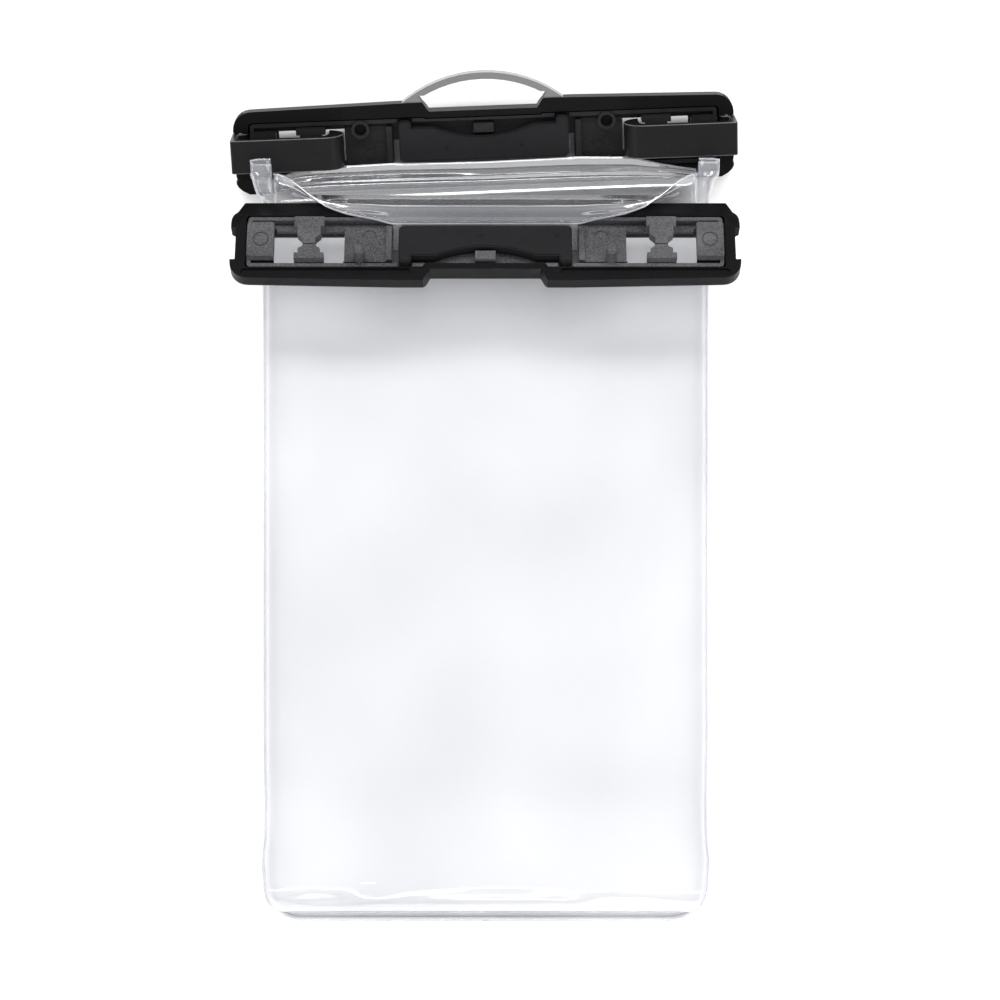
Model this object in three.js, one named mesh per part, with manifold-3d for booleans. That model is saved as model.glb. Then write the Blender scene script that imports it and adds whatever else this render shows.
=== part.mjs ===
// Waterproof phone pouch, lying on its back with the mouth held open.
// Millimetres. +X to the right, +Y towards the mouth, +Z up, away from the table.
// The origin is the middle of the flat underside of the bag's back film.
import * as THREE from 'three';
import Module from 'manifold-3d';

const wasm = await Module();
wasm.setup();
const { Manifold, CrossSection, Mesh: SolidMesh } = wasm;

// Bag
const bagHalfWidth = 54.4;
const bagBottomY = -88.7;
const bagCornerRadius = 9.5;
const filmThickness = 0.5;
const bottomWeldWidth = 2.5;
const bottomRiseLength = 8;
const frontFilmZ = 12.15;
const weldGap = 0.1;
const foldGap = 0.2;
const frontInset = 1.8;
const gussetFootInset = 3;
const gussetTopInset = 4;
const throatInset = 2.4;
const lipInset = 4.6;
const backLipInset = 2.8;
const earFootInset = 2.2;
const earTopInset = 3.7;

// Both clamp halves, in a clamp half's own directions:
// u along the clamp, v from the mouth edge outwards, n out of the parting plane.
const clampHalfLength = 60.2;
const clampHeight = 19.8;
const clampEndDrop = 0.8;
const clampCornerRadius = 4.2;
const coverBack = -7;
const coverChamfer = 1.2;
const coverFloor = -5.2;
const coverRim = -2.2;
const coverEndWall = 3.6;
const coverOuterWall = 3.4;
const fitGap = 0.3;
const sideWallThickness = 1.3;
const seatGap = 0.05;
const frameDeck = -4.2;
const frameBandWidth = 0.9;
const postTop = -0.3;
const backJawTipV = -1.4;
const frontJawTipV = -2.5;
const jawRootV = 2.2;
const jawRootN = -2.2;
const jawSlope = 0.46;
const jawTipThickness = 0.8;
const jawEndInset = 2.9;
const windowInnerU = 33.3;
const windowLowV = 5.5;
const windowHighV = 14;
const endPostWidth = 6.5;
const endPostMarkRadius = 2;
const bridgeU = 41.5;
const bridgeHalfWidth = 3.5;
const notchHalfBottom = 13;
const notchHalfTop = 15.5;
const frontNotchV = 16.7;
const backNotchV = 17.6;
const notchWall = 1.5;
const grooveInnerU = 17.6;
const grooveWidth = 1.9;
const grooveDepth = 0.6;
const channelSkin = 0.6;

// Lanyard loop on the back half
const loopApexV = 26.5;
const loopRadius = 31.4;
const loopThickness = 1.6;
const loopHalfSpan = 21;
const loopBackN = -5.8;
const loopFrontN = -2.6;

// Bars that clamp the film's tabs
const barHalfLength = 20.4;
const barLowV = 6;
const barHighV = 14.1;
const barEarWidth = 3;
const barEarV = 15.8;
const barArcV = 11.6;
const barArcRadius = 30;
const barTop = -0.4;
const tabHalfWidth = 21.8;
const tabEndV = 11;
const tabGap = 0.08;

// Guide pins and sockets
const guideU = 29.6;
const guideV = 13.9;
const guideRadius = 1.35;
const guideTop = 2.6;
const socketTop = -1.6;
const socketOuterRadius = 2.2;
const guideClearance = 0.15;

// Latches, folded in over the back half
const latchPivotInset = 1.8;
const latchPivotN = -3.6;
const latchHubRadius = 1.8;
const latchInnerInset = 0.3;
const latchArmOutset = 2.1;
const latchLowV = 5.8;
const latchHighV = 13.8;
const latchTop = 5.4;
const latchBarThickness = 2;
const latchArmThickness = 1.3;
const latchBendRadius = 4.5;
const latchHookWidth = 3.6;
const latchHookTip = -1;
const latchSideGap = 0.3;
const latchFloorGap = 0.2;
const latchPinRadius = 0.8;
const latchPinReach = 2.2;
const latchPinHoleGap = 0.06;
const latchHubHoleGap = 0.15;

// Where the clamp halves are held by the film at rest
const backTiltDeg = 20;
const backRollDeg = 2.2;
const backEdge = [0, 90.5, 6.9];
const frontTiltDeg = 25;
const frontEdge = [0, 84.5, 19.5];

const arc = 6;
const deg = Math.PI / 180;

// Places that follow from the sizes above.
const bagThroatY = frontEdge[1] - throatInset;
const latchPivotU = clampHalfLength - latchPivotInset;
const latchOuterU = latchPivotU + latchArmOutset;
const latchInnerU = windowInnerU + latchInnerInset;
const latchBarLow = latchTop - latchBarThickness;
const endSlotU = latchPivotU - latchHubRadius - latchFloorGap;
const endSlotLowV = latchLowV - latchSideGap;
const endSlotHighV = latchHighV + latchSideGap;
const endSlotFloor = latchPivotN - latchArmOutset - latchFloorGap;
const channelRoof = latchFloorGap - latchBarLow;
const frontScoopU = latchOuterU - latchArmThickness - latchFloorGap;
const frameHalfLength = endSlotU - fitGap;
const windowOuterU = frameHalfLength - endPostWidth;

// Plan shapes and prisms

function rectangle(x0, x1, y0, y1) {
  return CrossSection.square([x1 - x0, y1 - y0]).translate([x0, y0]);
}

function rounded(x0, x1, y0, y1, radius) {
  const inner = rectangle(x0 + radius, x1 - radius, y0 + radius, y1 - radius);
  return inner.offset(radius, 'Round', 2, arc * 3);
}

function disc(x, y, radius, segments = arc * 3) {
  return CrossSection.circle(radius, segments).translate([x, y]);
}

function polygon(points) {
  return new CrossSection([points], 'NonZero');
}

function prism(plan, low, high) {
  return plan.extrude(high - low).translate([0, 0, low]);
}

function block(x0, x1, y0, y1, z0, z1) {
  return prism(rectangle(x0, x1, y0, y1), z0, z1);
}

function bothEnds(solid) {
  return solid.add(solid.mirror([1, 0, 0]));
}

// A section drawn in v and n, run along u.
function alongU(section, halfLength) {
  const run = section.extrude(2 * halfLength).translate([0, 0, -halfLength]);
  return run.transform([0, 1, 0, 0, 0, 0, 1, 0, 1, 0, 0, 0, 0, 0, 0, 1]);
}

// A section drawn in u and n, run along v.
function alongV(section, lowV, highV) {
  return section.extrude(highV - lowV).rotate([90, 0, 0]).translate([0, highV, 0]);
}

// Clamp halves

function jawTipV(isBack) {
  return isBack ? backJawTipV : frontJawTipV;
}

// The jaw's inner face at a place between its tip and its root.
function jawFaceN(v) {
  return jawRootN - Math.max(jawRootV - v, 0) * jawSlope;
}

// The outline of a clamp half, a little lower at its ends.
function clampPlan() {
  const endHeight = clampHeight - clampEndDrop;
  const outline = polygon([
    [-clampHalfLength, 0],
    [clampHalfLength, 0],
    [clampHalfLength, endHeight],
    [loopHalfSpan, clampHeight],
    [-loopHalfSpan, clampHeight],
    [-clampHalfLength, endHeight],
  ]);
  const inner = outline.offset(-clampCornerRadius, 'Miter', 4);
  return inner.offset(clampCornerRadius, 'Round', 2, arc * 4);
}

function notchPlan(bottomV) {
  return polygon([
    [-notchHalfBottom, bottomV],
    [notchHalfBottom, bottomV],
    [notchHalfTop, clampHeight + 1.6],
    [-notchHalfTop, clampHeight + 1.6],
  ]);
}

function loopCentreV() {
  return loopApexV - loopRadius;
}

function loopWindowPlan() {
  const underArc = disc(0, loopCentreV(), loopRadius - loopThickness, 72);
  const band = rectangle(-notchHalfTop, notchHalfTop, clampHeight + 1.2, loopApexV);
  return notchPlan(backNotchV).add(underArc.intersect(band));
}

// Room for the latch's hub and arm at each end of the back half.
function endSlot() {
  return bothEnds(block(
    endSlotU, clampHalfLength + 1, endSlotLowV, endSlotHighV, endSlotFloor, 1,
  ));
}

// Room for the closed latch in the front half: the arm passes its end, the bar its back.
function latchChannel() {
  const arm = block(frontScoopU, clampHalfLength + 1, endSlotLowV, endSlotHighV, coverBack - 1, 1);
  const bar = block(
    windowInnerU, clampHalfLength + 1,
    endSlotLowV, endSlotHighV,
    coverBack - 1, channelRoof,
  );
  return bothEnds(arm.add(bar));
}

function windows(margin) {
  return bothEnds(block(
    windowInnerU - margin, windowOuterU + margin,
    windowLowV - margin, windowHighV + margin,
    coverBack - 1, 1,
  ));
}

function cover(isBack) {
  const plan = clampPlan();
  const smaller = plan.offset(-coverChamfer, 'Round', 2, arc * 3);
  const shoulder = coverBack + coverChamfer;
  let body = Manifold.hull([
    prism(smaller, coverBack, coverBack + 0.01),
    prism(plan, shoulder, coverRim),
  ]);
  const cavity = rounded(
    -clampHalfLength + coverEndWall, clampHalfLength - coverEndWall,
    jawRootV, clampHeight - coverOuterWall, 1,
  );
  body = body.subtract(prism(cavity, coverFloor, 1));

  const open = isBack ? loopWindowPlan() : notchPlan(frontNotchV);
  const wallPlan = notchPlan(isBack ? backNotchV : frontNotchV)
    .offset(notchWall, 'Miter', 3)
    .intersect(plan);
  body = body.add(prism(wallPlan, coverFloor - 0.5, coverRim));

  const tipV = jawTipV(isBack);
  const jaw = polygon([
    [tipV, jawFaceN(tipV)],
    [tipV, jawFaceN(tipV) - jawTipThickness],
    [0, coverBack + coverChamfer],
    [coverChamfer, coverBack],
    [jawRootV + 0.2, coverBack],
    [jawRootV + 0.2, jawRootN],
    [jawRootV, jawRootN],
  ]);
  const rightJawEnd = isBack
    ? [[0, jawRootV + 1.5], [0, jawRootV - 0.7], [0.4, 0.6], [1.3, -0.4], [jawEndInset, tipV]]
    : [[0.6, jawRootV + 1], [jawEndInset, tipV]];
  const rightJaw = rightJawEnd.map(([inset, v]) => [clampHalfLength - inset, v]);
  const leftJaw = rightJaw.map(([u, v]) => [-u, v]);
  const jawPlan = polygon(leftJaw.concat(rightJaw.reverse()));
  body = body.add(alongU(jaw, clampHalfLength).intersect(prism(jawPlan, coverBack - 1, 1)));
  const overJaw = polygon([
    [jawRootV, jawRootN],
    [tipV - 1, jawFaceN(tipV - 1)],
    [tipV - 1, 1],
    [jawRootV, 1],
  ]);
  body = body.subtract(alongU(overJaw, clampHalfLength + 1));

  if (isBack) {
    const loop = disc(0, loopCentreV(), loopRadius, 72)
      .intersect(rectangle(-loopHalfSpan, loopHalfSpan, clampHeight - notchWall, loopApexV + 1));
    body = body.add(prism(loop, loopBackN, loopFrontN));
  } else {
    const grooveV = clampHeight - coverOuterWall + 0.2;
    const groove = rounded(
      grooveInnerU, clampHalfLength - coverEndWall + 1,
      grooveV, grooveV + grooveWidth, grooveWidth / 2 - 0.01,
    );
    body = body.subtract(bothEnds(prism(groove, coverRim - grooveDepth, 1)));
  }
  body = body.subtract(prism(open, coverBack - 1, 1));
  body = body.subtract(windows(0));
  if (!isBack) {
    body = body.add(bothEnds(block(
      windowOuterU + 0.2, clampHalfLength - coverEndWall + 0.1,
      endSlotLowV - 0.5, endSlotHighV + 0.5,
      coverFloor - 0.5, channelRoof + channelSkin,
    )));
  }
  body = body.subtract(isBack ? endSlot() : latchChannel());
  if (isBack) {
    const hole = disc(latchPivotU, latchPivotN, latchPinRadius + latchPinHoleGap, arc * 2);
    const blindEnd = endSlotLowV - latchPinReach - 0.1;
    body = body.subtract(bothEnds(alongV(hole, blindEnd, clampHeight + 2)));
  }
  return body;
}

// The narrow post that bridges each window, drawn for +u.
function hourglassPlan(lowV) {
  const wide = bridgeHalfWidth;
  const steps = [
    [lowV, wide], [6.2, wide], [6.2, wide - 0.7], [8.2, wide - 0.7],
    [9.4, wide - 2], [11.6, wide - 2], [12.2, wide - 0.9], [13.4, wide - 0.9],
    [13.4, wide], [windowHighV + 0.9, wide],
  ];
  const right = steps.map(([v, half]) => [bridgeU + half, v]);
  const left = steps.map(([v, half]) => [bridgeU - half, v]).reverse();
  return polygon(right.concat(left));
}

function frame(isBack) {
  const halfLength = frameHalfLength;
  const lowV = jawRootV + 0.2 + fitGap;
  const highV = clampHeight - coverOuterWall - fitGap;
  const under = coverFloor + seatGap;
  const outline = rounded(-halfLength, halfLength, lowV, highV, 0.8);
  const inside = outline.offset(-frameBandWidth, 'Round', 2, arc * 2);

  let body = prism(outline, under, frameDeck).subtract(windows(-0.2));
  body = body.add(prism(outline.subtract(inside), under, coverRim));

  const endPost = rounded(windowOuterU + 0.2, halfLength, windowLowV - 0.4, windowHighV + 0.3, 0.5);
  const markU = halfLength - endPostWidth / 2;
  const markV = (windowLowV + windowHighV) / 2;
  const postMark = disc(markU, markV, endPostMarkRadius, arc * 2)
    .subtract(disc(markU, markV, endPostMarkRadius - 0.4, arc * 2));
  let posts = prism(endPost, under, postTop);
  posts = posts.subtract(prism(postMark, postTop - 0.3, 1));
  const bridge = hourglassPlan(isBack ? 6 : 3.6);
  const splitLine = rectangle(bridgeU - bridgeHalfWidth, bridgeU + bridgeHalfWidth, 10.9, 11.15);
  posts = posts.add(prism(bridge, under, postTop));
  posts = posts.subtract(prism(splitLine, postTop - 0.8, 1));

  const padTop = isBack ? frameDeck + 0.4 : -3.2;
  const wallInnerU = tabHalfWidth + fitGap;
  const padInnerU = wallInnerU + sideWallThickness;
  const pad = rectangle(padInnerU, windowInnerU + 0.2, 5, windowHighV + 0.3);
  posts = posts.add(prism(pad, under, padTop));
  const padMark = disc(guideU - 2.2, 7.4, 1.7, arc * 2);
  posts = posts.subtract(prism(padMark, padTop - 0.3, 1));
  const sideWall = rectangle(wallInnerU, padInnerU, 5, windowHighV + 0.3);
  posts = posts.add(prism(sideWall, under, coverRim));
  if (isBack) {
    const bore = disc(guideU, guideV, guideRadius + guideClearance, arc * 2);
    posts = posts.add(prism(disc(guideU, guideV, socketOuterRadius, arc * 3), under, socketTop));
    body = body.add(bothEnds(posts));
    body = body.subtract(bothEnds(prism(bore, frameDeck, 1)));
  } else {
    const shank = prism(disc(guideU, guideV, guideRadius, arc * 2), under, guideTop - 0.6);
    const tip = prism(disc(guideU, guideV, guideRadius - 0.4, arc * 2), guideTop - 0.1, guideTop);
    const nose = prism(disc(guideU, guideV, guideRadius, arc * 2), guideTop - 0.61, guideTop - 0.6);
    posts = posts.add(shank).add(Manifold.hull([nose, tip]));
    body = body.add(bothEnds(posts));
    body = body.subtract(latchChannel());
    body = body.subtract(bothEnds(block(
      windowOuterU + 0.2 - fitGap, clampHalfLength,
      endSlotLowV - 0.5 - fitGap, endSlotHighV + 0.5 + fitGap,
      coverBack, channelRoof + channelSkin + seatGap,
    )));
  }

  const barLow = frameDeck + filmThickness + 2 * tabGap;
  body = body.subtract(bothEnds(block(
    barHalfLength - barEarWidth - fitGap, barHalfLength + fitGap,
    barHighV, barEarV + fitGap, barLow - seatGap, 1,
  )));
  body = body.add(block(-2.4, 2.4, barArcV + 0.7, barHighV + 0.4, under, -1.4));
  const clear = notchPlan(isBack ? backNotchV : frontNotchV).offset(notchWall + fitGap, 'Miter', 3);
  body = body.subtract(prism(clear, coverBack, 1));
  return body;
}

function filmBar(marksU) {
  const ears = rounded(barHalfLength - barEarWidth, barHalfLength, barLowV, barEarV, 1);
  const arcCut = disc(0, barArcV + barArcRadius, barArcRadius, 72);
  let plan = rounded(-barHalfLength, barHalfLength, barLowV, barHighV, 1);
  plan = plan.subtract(arcCut).add(ears).add(ears.mirror([1, 0]));
  const low = frameDeck + filmThickness + 2 * tabGap;
  let body = prism(plan, low, barTop - 0.3);
  body = body.add(prism(plan.offset(-0.3, 'Round', 2, arc * 2), low, barTop));
  for (const u of marksU) {
    body = body.subtract(prism(disc(u, 9, 0.6, arc), barTop - 0.3, 1));
  }
  return body;
}

// A rectangle with small corners and one large one, at its inner top.
function bentOutline(u0, u1, n0, n1, bend) {
  const small = 0.8;
  return CrossSection.hull([
    disc(u0 + small, n0 + small, small),
    disc(u1 - small, n0 + small, small),
    disc(u1 - small, n1 - small, small),
    disc(u0 + bend, n1 - bend, bend, arc * 6),
  ]);
}

function latch() {
  const lowV = latchLowV;
  const highV = latchHighV;
  const armInner = latchOuterU - latchArmThickness;
  const outer = bentOutline(latchInnerU, latchOuterU, latchHookTip, latchTop, latchBendRadius);
  const hollow = bentOutline(
    latchInnerU + latchHookWidth, armInner, -6, latchBarLow, latchBendRadius - latchBarThickness,
  );
  let section = outer.subtract(hollow);
  section = section.add(rectangle(armInner, latchOuterU, latchPivotN, 1));
  section = section.add(disc(latchPivotU, latchPivotN, latchHubRadius));
  section = section.subtract(
    disc(latchPivotU, latchPivotN, latchPinRadius + latchHubHoleGap, arc * 2),
  );
  const body = alongV(section, lowV, highV);
  const face = rounded(latchInnerU - 1, latchOuterU + 3, lowV, highV, 0.9);
  return body.intersect(prism(face, -8, latchTop + 1));
}

function latchPin() {
  const section = disc(latchPivotU, latchPivotN, latchPinRadius, arc * 2);
  return alongV(section, endSlotLowV - latchPinReach, endSlotHighV + latchPinReach);
}

// Placing a clamp half

function backPlace() {
  const tilt = new THREE.Matrix4().makeRotationX(backTiltDeg * deg);
  const roll = new THREE.Matrix4().makeRotationZ(backRollDeg * deg);
  const move = new THREE.Matrix4().makeTranslation(...backEdge);
  return move.multiply(roll).multiply(tilt);
}

// The front half is turned round, so that its v runs towards the bag's bottom.
function frontPlace() {
  const turn = new THREE.Matrix4().makeRotationZ(Math.PI);
  const tilt = new THREE.Matrix4().makeRotationX(-frontTiltDeg * deg);
  const move = new THREE.Matrix4().makeTranslation(...frontEdge);
  return move.multiply(tilt).multiply(turn);
}

const toBack = backPlace();
const toFront = frontPlace();

function placed(solid, matrix) {
  return solid.transform(matrix.elements);
}

function onBack(u, v, n) {
  return new THREE.Vector3(u, v, n).applyMatrix4(toBack);
}

function onFront(u, v, n) {
  return new THREE.Vector3(-u, v, n).applyMatrix4(toFront);
}

// Film sheets: a net of points in the middle of the film, given its thickness.

function filmSolid(rows) {
  const high = rows.length;
  const wide = rows[0].length;
  const points = [];
  const normals = [];
  for (let i = 0; i < high; i += 1) {
    for (let j = 0; j < wide; j += 1) {
      const down = rows[Math.max(i - 1, 0)][j];
      const up = rows[Math.min(i + 1, high - 1)][j];
      const left = rows[i][Math.max(j - 1, 0)];
      const right = rows[i][Math.min(j + 1, wide - 1)];
      const across = new THREE.Vector3().subVectors(right, left);
      const along = new THREE.Vector3().subVectors(up, down);
      points.push(rows[i][j]);
      normals.push(across.cross(along).normalize());
    }
  }
  const vertices = [];
  for (const side of [0.5, -0.5]) {
    points.forEach((p, k) => {
      const q = p.clone().addScaledVector(normals[k], side * filmThickness);
      vertices.push(q.x, q.y, q.z);
    });
  }
  const count = high * wide;
  const faces = [];
  const quad = (a, b, c, d) => faces.push(a, b, c, a, c, d);
  for (let i = 0; i + 1 < high; i += 1) {
    for (let j = 0; j + 1 < wide; j += 1) {
      const a = i * wide + j;
      quad(a, a + 1, a + 1 + wide, a + wide);
      quad(count + a + wide, count + a + 1 + wide, count + a + 1, count + a);
    }
  }
  for (let j = 0; j + 1 < wide; j += 1) {
    const last = (high - 1) * wide + j;
    quad(j + 1, j, count + j, count + j + 1);
    quad(last, last + 1, count + last + 1, count + last);
  }
  for (let i = 0; i + 1 < high; i += 1) {
    const a = i * wide;
    const b = a + wide - 1;
    quad(a, a + wide, count + a + wide, count + a);
    quad(b + wide, b, count + b, count + b + wide);
  }
  const solid = new Manifold(new SolidMesh({
    numProp: 3,
    vertProperties: new Float32Array(vertices),
    triVerts: new Uint32Array(faces),
  }));
  return solid;
}

function range(from, to, steps) {
  return Array.from({ length: steps + 1 }, (_, i) => from + ((to - from) * i) / steps);
}

// Half the bag's width at a place along it, rounded in at the bottom corners.
function bagHalf(y) {
  const into = bagBottomY + bagCornerRadius - y;
  if (into <= 0) {
    return bagHalfWidth;
  }
  const rise = Math.sqrt(Math.max(bagCornerRadius ** 2 - into ** 2, 0));
  return bagHalfWidth - bagCornerRadius + rise;
}

// Height of the front film's middle, which rises from the bottom weld.
function frontHeight(y) {
  const weldZ = 1.5 * filmThickness + 4 * weldGap;
  const t = THREE.MathUtils.clamp((y - bagBottomY - bottomWeldWidth) / bottomRiseLength, 0, 1);
  return weldZ + (frontFilmZ - weldZ) * Math.sqrt(1 - (1 - t) ** 2);
}

// A point on the front film's underside, leaving room for the gusset's own film.
function underFront(x, y) {
  const step = 0.02;
  const slope = (frontHeight(y + step) - frontHeight(y)) / step;
  const reach = (filmThickness + weldGap) / Math.hypot(1, slope);
  return new THREE.Vector3(x, y + slope * reach, frontHeight(y) - reach);
}

const bottomRows = [0, 0.35, 1.2, 2.5, 2.7, 3.1, 3.8, 4.8, 6.2, 8, 10.5].map((d) => bagBottomY + d);
const bodyRows = [-60, -30, 0, 30, 60, 77];

// How far the film stands over the jaw and the frame, in the clamp's n.
function lipHeight(v) {
  return jawFaceN(v) + 0.6;
}

function freeEdge(stops, u) {
  const a = Math.abs(u);
  for (let i = 0; i + 1 < stops.length; i += 1) {
    const [u0, v0] = stops[i];
    const [u1, v1] = stops[i + 1];
    if (a <= u1) {
      return v0 + ((v1 - v0) * (a - u0)) / (u1 - u0);
    }
  }
  return stops[stops.length - 1][1];
}

const backEdgeStops = [[0, 4.6], [22, 4.6], [24, 5.5], [34, 5.6], [40, 5.2], [45, 4.2], [52.2, 1.8]];
const frontEdgeStops = [[0, 4.6], [22, 4.6], [24, 5.7], [35, 1.9], [43, -1.2], [52.2, -1.2]];

function tabRows(onClamp) {
  const middle = frameDeck + tabGap + filmThickness / 2;
  const start = lipHeight(3.6) - 0.2;
  const path = [[3.6, start], [4.4, start], [5.4, middle], [8, middle], [tabEndV, middle]];
  return path.map(([v, n]) => range(-tabHalfWidth, tabHalfWidth, 2).map((u) => onClamp(u, v, n)));
}

function backFilm() {
  const columns = range(-1, 1, 16);
  const z = filmThickness / 2;
  const rows = [];
  for (const y of bottomRows.concat(bodyRows, [bagThroatY + 0.3])) {
    rows.push(columns.map((s) => new THREE.Vector3(s * bagHalf(y), y, z)));
  }
  const lipHalf = bagHalfWidth - backLipInset;
  rows.push(columns.map((s) => onBack(s * lipHalf, backJawTipV - 0.6, lipHeight(backJawTipV) - 0.9)));
  for (const t of range(0, 1, 4)) {
    rows.push(columns.map((s) => {
      const u = s * lipHalf;
      const start = backJawTipV + 0.1;
      const v = start + (freeEdge(backEdgeStops, u) - start) * t;
      return onBack(u, v, lipHeight(v));
    }));
  }
  return filmSolid(rows).add(filmSolid(tabRows(onBack)));
}

function frontFilm() {
  const columns = range(-1, 1, 8);
  const rows = [];
  for (const y of bottomRows.concat(bodyRows, [bagThroatY])) {
    const half = bagHalf(y) - frontInset;
    rows.push(columns.map((s) => new THREE.Vector3(s * half, y, frontHeight(y))));
  }
  return filmSolid(rows);
}

function frontLip() {
  const columns = range(-1, 1, 16);
  const rows = [];
  const start = bagThroatY + foldGap;
  const lipHalf = bagHalfWidth - lipInset;
  rows.push(columns.map((s) => new THREE.Vector3(s * (bagHalfWidth - 2), start, frontFilmZ)));
  // The fold under and round the jaw's tip, measured from the front half's edge.
  for (const [y, z] of [[0.3, -6.9], [1.4, -6.45], [1.85, -5.65], [1.4, -5]]) {
    const bend = new THREE.Vector3(0, frontEdge[1] + y, frontEdge[2] + z);
    rows.push(columns.map((s) => new THREE.Vector3(s * lipHalf, bend.y, bend.z)));
  }
  for (const t of range(0, 1, 4)) {
    rows.push(columns.map((s) => {
      const u = s * lipHalf;
      const from = frontJawTipV + 0.1;
      const v = from + (freeEdge(frontEdgeStops, u) - from) * t;
      return onFront(u, v, lipHeight(v));
    }));
  }
  return filmSolid(rows).add(filmSolid(tabRows(onFront)));
}

// The section of a side wall: how far out it stands, and how far up it is.
const wallSection = [
  [0, 0], [1.9, 0], [2.6, 0.06], [3, 0.25], [3.1, 0.5], [3, 0.75], [2.6, 0.94], [1.9, 1], [0, 1],
];

function wallSolid(side, stations) {
  const rows = stations.map(([foot, top]) => wallSection.map(([out, t]) => {
    const point = new THREE.Vector3().lerpVectors(foot, top, t);
    point.x += side * out;
    return point;
  }));
  return filmSolid(side < 0 ? rows : rows.map((row) => row.reverse()));
}

const wallFootZ = 1.5 * filmThickness + weldGap;

function wallStation(side, y) {
  return [
    new THREE.Vector3(side * (bagHalf(y) - gussetFootInset), y, wallFootZ),
    underFront(side * (bagHalf(y) - gussetTopInset), y),
  ];
}

// A side wall of the bag. Its foot lies on the back film, its top under the front film.
function gusset(side) {
  const stations = bottomRows.slice(4).concat(bodyRows, [bagThroatY]);
  return wallSolid(side, stations.map((y) => wallStation(side, y)));
}

// The end of a side wall, which stands up at the mouth between the two lips.
// Its foot and top are given in the back clamp half's v and n, for each end of the clamp.
const earFeet = {
  left: [[-0.3, -2], [3, 1], [4.4, 5.9], [7, 6.2], [9.5, 6.4]],
  right: [[-0.3, -2], [1.2, 1], [2.4, 5.6], [4.2, 6.4], [5.8, 7.2]],
};
const earTops = {
  left: [[5.6, 8], [7.4, 8.1], [9.3, 8.1], [11.4, 8.1]],
  right: [[2, 9.2], [3.8, 9.3], [5.6, 9.4], [7.5, 9.5]],
};

function ear(side) {
  const end = side < 0 ? 'left' : 'right';
  const footU = side * (bagHalfWidth - earFootInset);
  const topU = side * (bagHalfWidth - earTopInset);
  const tip = (y, z) => new THREE.Vector3(topU, frontEdge[1] + y, frontEdge[2] + z);
  const stations = [
    wallStation(side, bagThroatY + foldGap),
    [onBack(footU, backJawTipV - 0.2, lipHeight(backJawTipV) + 0.4), tip(1, -7.4)],
    [onBack(footU, ...earFeet[end][0]), tip(2.6, -4.9)],
  ];
  earTops[end].forEach(([v, n], k) => {
    stations.push([onBack(footU, ...earFeet[end][k + 1]), onBack(topU, v, n)]);
  });
  return wallSolid(side, stations);
}

// Meshes

function material(name, color, roughness, opacity = 1) {
  return new THREE.MeshStandardMaterial({
    name, color, roughness, metalness: name === 'steel' ? 1 : 0, opacity, transparent: opacity < 1,
  });
}

const clearFilm = () => material('film', '#d3d5dc', 0.12, 0.35);
const coverPlastic = () => material('cover', '#26272a', 0.42);
const framePlastic = () => material('frame', '#3d3e42', 0.6);
const latchPlastic = () => material('latch', '#232527', 0.35);
const pinSteel = () => material('steel', '#b8babd', 0.3);

function part(name, solid, finish) {
  const source = solid.getMesh();
  const geometry = new THREE.BufferGeometry();
  const stride = source.numProp;
  const positions = new Float32Array((source.vertProperties.length / stride) * 3);
  for (let i = 0; i * stride < source.vertProperties.length; i += 1) {
    positions.set(source.vertProperties.subarray(i * stride, i * stride + 3), i * 3);
  }
  geometry.setAttribute('position', new THREE.BufferAttribute(positions, 3));
  geometry.setIndex(new THREE.BufferAttribute(new Uint32Array(source.triVerts), 1));
  geometry.computeVertexNormals();
  const mesh = new THREE.Mesh(geometry, finish());
  mesh.name = name;
  return mesh;
}

const rightLatch = latch();
const rightPin = latchPin();
const group = new THREE.Group();
group.name = 'waterproof_phone_pouch';
group.add(
  part('back_film', backFilm(), clearFilm),
  part('front_film', frontFilm(), clearFilm),
  part('front_lip', frontLip(), clearFilm),
  part('left_gusset', gusset(-1), clearFilm),
  part('right_gusset', gusset(1), clearFilm),
  part('left_ear', ear(-1), clearFilm),
  part('right_ear', ear(1), clearFilm),
  part('back_outer_cover', placed(cover(true), toBack), coverPlastic),
  part('back_inner_frame', placed(frame(true), toBack), framePlastic),
  part('back_film_bar', placed(filmBar([-9, 9]), toBack), latchPlastic),
  part('left_latch', placed(rightLatch.mirror([1, 0, 0]), toBack), latchPlastic),
  part('right_latch', placed(rightLatch, toBack), latchPlastic),
  part('left_latch_pin', placed(rightPin.mirror([1, 0, 0]), toBack), pinSteel),
  part('right_latch_pin', placed(rightPin, toBack), pinSteel),
  part('front_outer_cover', placed(cover(false), toFront), coverPlastic),
  part('front_inner_frame', placed(frame(false), toFront), framePlastic),
  part('front_film_bar', placed(filmBar([-17, 1]), toFront), latchPlastic),
);

export default group;
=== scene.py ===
"""Waterproof phone pouch: a clear film bag, its mouth held open by a hinged black clamp."""

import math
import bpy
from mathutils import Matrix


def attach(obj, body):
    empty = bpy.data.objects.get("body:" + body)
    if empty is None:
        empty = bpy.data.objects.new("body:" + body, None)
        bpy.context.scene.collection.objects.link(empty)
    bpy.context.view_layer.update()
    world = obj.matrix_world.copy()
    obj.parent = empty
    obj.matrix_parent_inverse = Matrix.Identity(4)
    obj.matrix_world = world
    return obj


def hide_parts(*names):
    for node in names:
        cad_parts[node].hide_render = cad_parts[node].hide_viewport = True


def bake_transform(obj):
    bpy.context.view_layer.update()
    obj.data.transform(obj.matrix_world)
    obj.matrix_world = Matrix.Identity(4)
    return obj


bl_info = {
    "name": "Waterproof phone pouch",
    "version": (1, 0, 0),
    "blender": (4, 5, 0),
    "location": "View3D > Sidebar > Pouch",
    "description": "Builds the film bag, the clamp and the stage round the packed frame",
    "category": "Object",
}

import bmesh
import bpy
from mathutils import Matrix, Vector

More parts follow.
